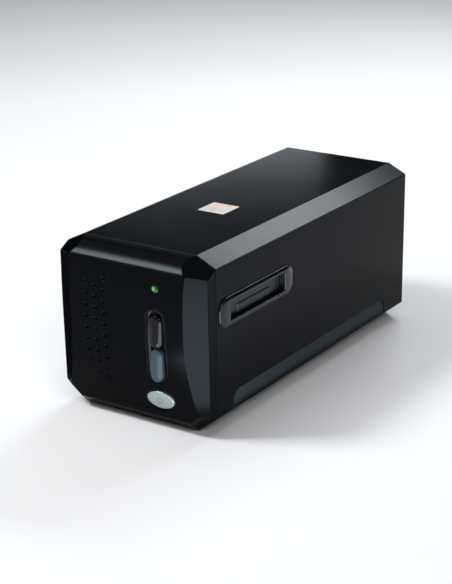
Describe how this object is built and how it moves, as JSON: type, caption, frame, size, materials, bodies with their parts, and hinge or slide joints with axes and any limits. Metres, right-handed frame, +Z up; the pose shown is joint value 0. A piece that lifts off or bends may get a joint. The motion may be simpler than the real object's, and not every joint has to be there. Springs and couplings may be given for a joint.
{
  "type": "film negative scanner",
  "caption": "Desktop film negative scanner with sprung dust doors over its film slots, push buttons on a crowned front bezel and a scan head that slides on rods inside.",
  "frame": {"origin": "on the table under the middle of the scanner, the middle of the bounding box's underside", "axes": "+X to the scanner's own right as it faces the reader, seen from the front; +Y from the front bezel to the rear panel; +Z up"},
  "size_m": [0.12, 0.273, 0.119],
  "materials": {
    "case_black": "satin, fine texture",
    "bezel_charcoal": "satin, fine texture",
    "frame_gloss": "gloss",
    "door_satin": "satin",
    "gloss_black": "high gloss",
    "smoke_gloss": "high gloss",
    "silver_grey": "satin metallic",
    "silver": "satin metallic",
    "light_green": "clear, lit green",
    "led_green": "lit",
    "rubber_black": "matt",
    "label_white": "coated paper",
    "steel": "plated",
    "rod_steel": "ground",
    "sheet_steel": "galvanised sheet",
    "board_green": "solder resist",
    "parts_black": "moulded",
    "bush_brass": "sintered",
    "mirror_glass": "front-surface mirror",
    "lens_glass": "polished",
    "barrel_black": "black anodised",
    "sensor_ceramic": "fired, glass window",
    "lamp_white": "white solder resist",
    "diffuser_white": "opal",
    "nut_cream": "moulded",
    "motor_grey": "drawn steel can",
    "cable_grey": "flat cable"
  },
  "bodies": {
    "case": {"lower_case": "case_black", "top_cover": "case_black", "front_bezel": "bezel_charcoal", "rear_panel": "case_black", "rear_screws": "steel", "rubber_feet": "rubber_black", "top_label": "label_white", "right_slot_frame": "frame_gloss", "left_slot_frame": "frame_gloss", "door_pins": "steel", "right_door_spring": "steel", "left_door_spring": "steel", "button_well": "gloss_black", "power_well": "gloss_black", "light_pipe": "light_green", "status_led": "led_green", "tact_switches": "parts_black", "button_board": "board_green", "board_screws": "steel", "usb_socket": "steel", "power_socket": "parts_black", "chassis_plate": "sheet_steel", "chassis_screws": "steel", "right_guide_stand": "sheet_steel", "left_guide_stand": "sheet_steel", "lower_film_guide": "parts_black", "upper_film_guide": "parts_black", "holder_detent": "steel", "guide_rods": "rod_steel", "rod_blocks": "parts_black", "screw_bearing": "parts_black", "stepper_motor": "motor_grey", "motor_bracket": "sheet_steel", "home_sensor": "parts_black", "main_board": "board_green", "board_standoffs": "bush_brass", "board_chips": "parts_black", "sensor_cable": "cable_grey"},
    "right_flap": {"right_door": "door_satin"},
    "left_flap": {"left_door": "door_satin"},
    "upper_button": {"upper_scan_button": "smoke_gloss"},
    "lower_button": {"lower_scan_button": "silver_grey"},
    "power_key": {"power_button": "silver"},
    "scan_head": {"head_tray": "parts_black", "rod_bushes": "bush_brass", "mirror_block": "parts_black", "fold_mirror": "mirror_glass", "lens_barrel": "barrel_black", "lens_elements": "lens_glass", "lens_clamp": "sheet_steel", "sensor_bracket": "sheet_steel", "sensor_board": "board_green", "image_sensor": "sensor_ceramic", "lamp_arm": "parts_black", "lamp_housing": "parts_black", "lamp_board": "lamp_white", "lamp_diffuser": "diffuser_white", "lead_nut": "nut_cream"},
    "drive_screw": {"lead_screw": "rod_steel"}
  },
  "joints": [
    {"name": "right_flap_hinge", "type": "hinge", "parent": "case", "child": "right_flap", "pos_m": [0.0536, -0.072, 0.0849], "axis": [0, 1, 0], "range_deg": [0, 80], "stiffness_Nm_per_rad": 0.0012, "springref_deg": -22.92, "deforming": ["right_door_spring"]},
    {"name": "left_flap_hinge", "type": "hinge", "parent": "case", "child": "left_flap", "pos_m": [-0.0536, -0.072, 0.0849], "axis": [0, 1, 0], "range_deg": [0, 75], "stiffness_Nm_per_rad": 0.0012, "springref_deg": -22.92, "deforming": ["left_door_spring"]},
    {"name": "upper_button_press", "type": "slide", "parent": "case", "child": "upper_button", "axis": [0, 1, 0], "range_m": [0, 0.0006], "stiffness_N_per_m": 500, "springref_m": -0.0006},
    {"name": "lower_button_press", "type": "slide", "parent": "case", "child": "lower_button", "axis": [0, 1, 0], "range_m": [0, 0.0006], "stiffness_N_per_m": 500, "springref_m": -0.0006},
    {"name": "power_button_press", "type": "slide", "parent": "case", "child": "power_key", "axis": [0, 1, 0], "range_m": [0, 0.0006], "stiffness_N_per_m": 500, "springref_m": -0.0006},
    {"name": "scan_head_travel", "type": "slide", "parent": "case", "child": "scan_head", "axis": [0, 1, 0], "range_m": [0, 0.024], "deforming": ["sensor_cable"]},
    {"name": "lead_screw_turn", "type": "hinge", "parent": "case", "child": "drive_screw", "pos_m": [0, 0.03, 0.0245], "axis": [0, 1, 0], "range_deg": [-20, 2900]}
  ],
  "couplings": [
    {"joint": "lead_screw_turn", "follows": "scan_head_travel", "rad_per_m": 2094.4}
  ]
}
